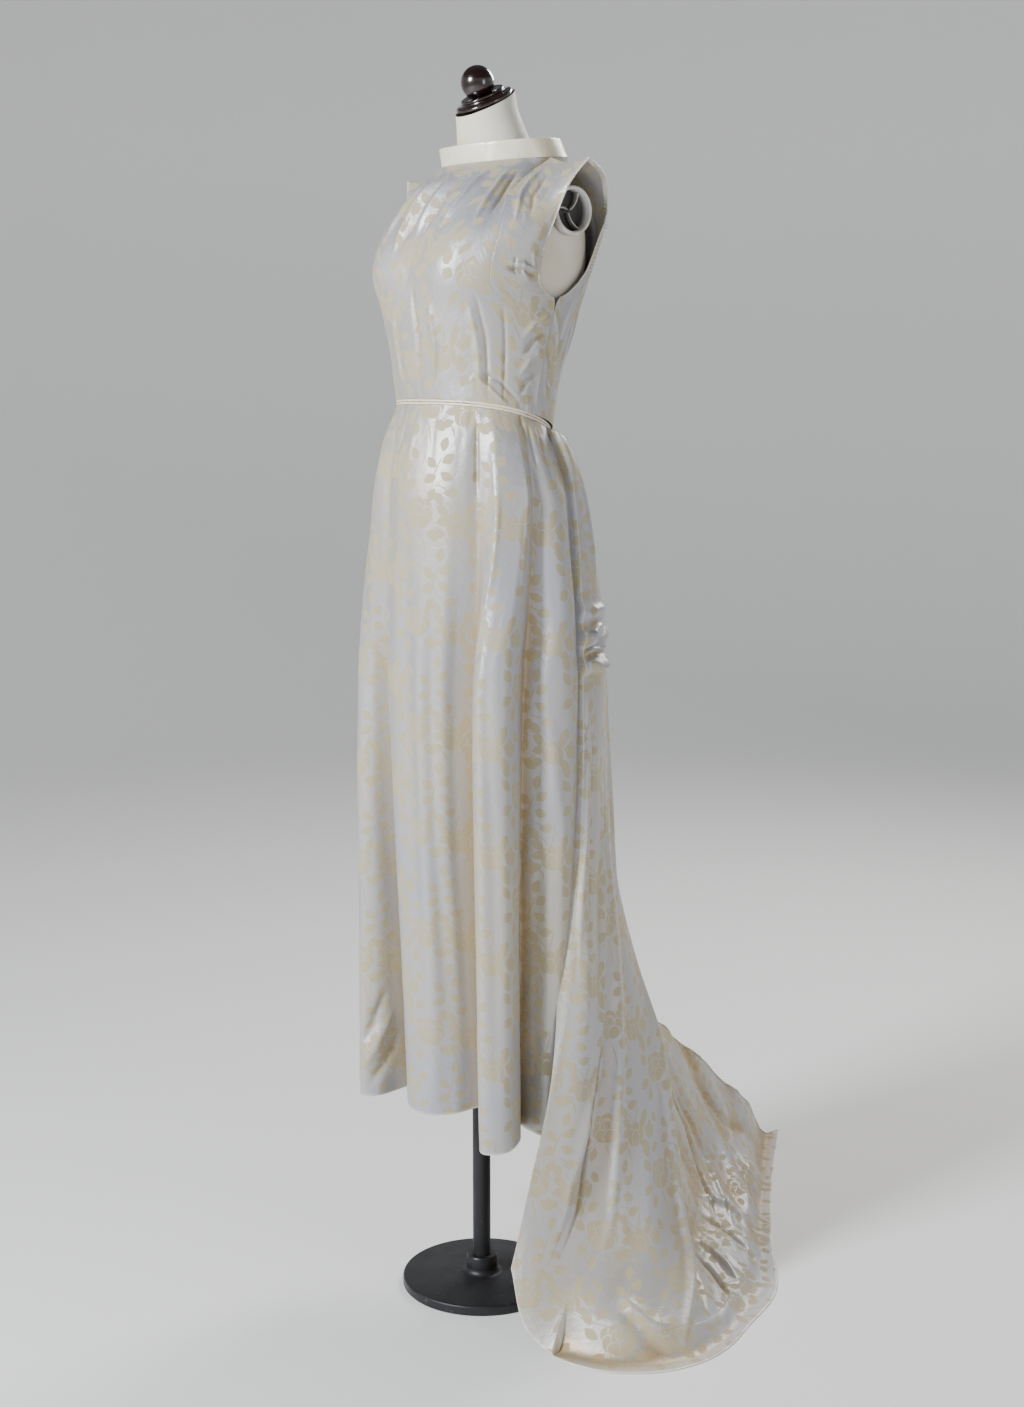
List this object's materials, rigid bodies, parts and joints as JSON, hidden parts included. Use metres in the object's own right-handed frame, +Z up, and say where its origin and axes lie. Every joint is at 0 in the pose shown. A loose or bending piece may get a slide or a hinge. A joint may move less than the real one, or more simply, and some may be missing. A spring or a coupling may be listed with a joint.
{
  "type": "wedding gown on a limbless dress form",
  "caption": "Sleeveless floor-length satin damask wedding gown with standing collar, pleated column skirt and long train spread on the floor, worn by a limbless dress form on a stand.",
  "frame": {"origin": "centre of the underside of the dress form's foot, on the floor and on the pole's axis", "axes": "+Z up; the wearer's front faces -Y and the train lies towards +Y; +X is the wearer's left"},
  "size_m": [0.6224, 0.9838, 1.8636],
  "materials": {
    "damask_satin": "ivory silk satin damask, glossy ground and matte woven roses",
    "plain_satin": "plain cream silk satin",
    "form_cover": "aged off-white cotton cover",
    "polished_wood": "dark red-brown polished wood",
    "socket_plastic": "light grey moulded plastic",
    "stand_metal": "black enamelled steel and iron"
  },
  "bodies": {
    "root": {"bodice_front": "damask_satin", "bodice_back": "damask_satin", "collar_band": "plain_satin", "waist_roll_upper": "plain_satin", "waist_roll_lower": "plain_satin", "skirt_front": "damask_satin", "skirt_back": "damask_satin", "train": "damask_satin", "form_torso": "form_cover", "neck_cap": "polished_wood", "arm_socket_left": "socket_plastic", "arm_socket_right": "socket_plastic", "socket_vane_left": "socket_plastic", "socket_vane_right": "socket_plastic", "form_pole": "stand_metal", "form_foot": "stand_metal"}
  },
  "joints": []
}
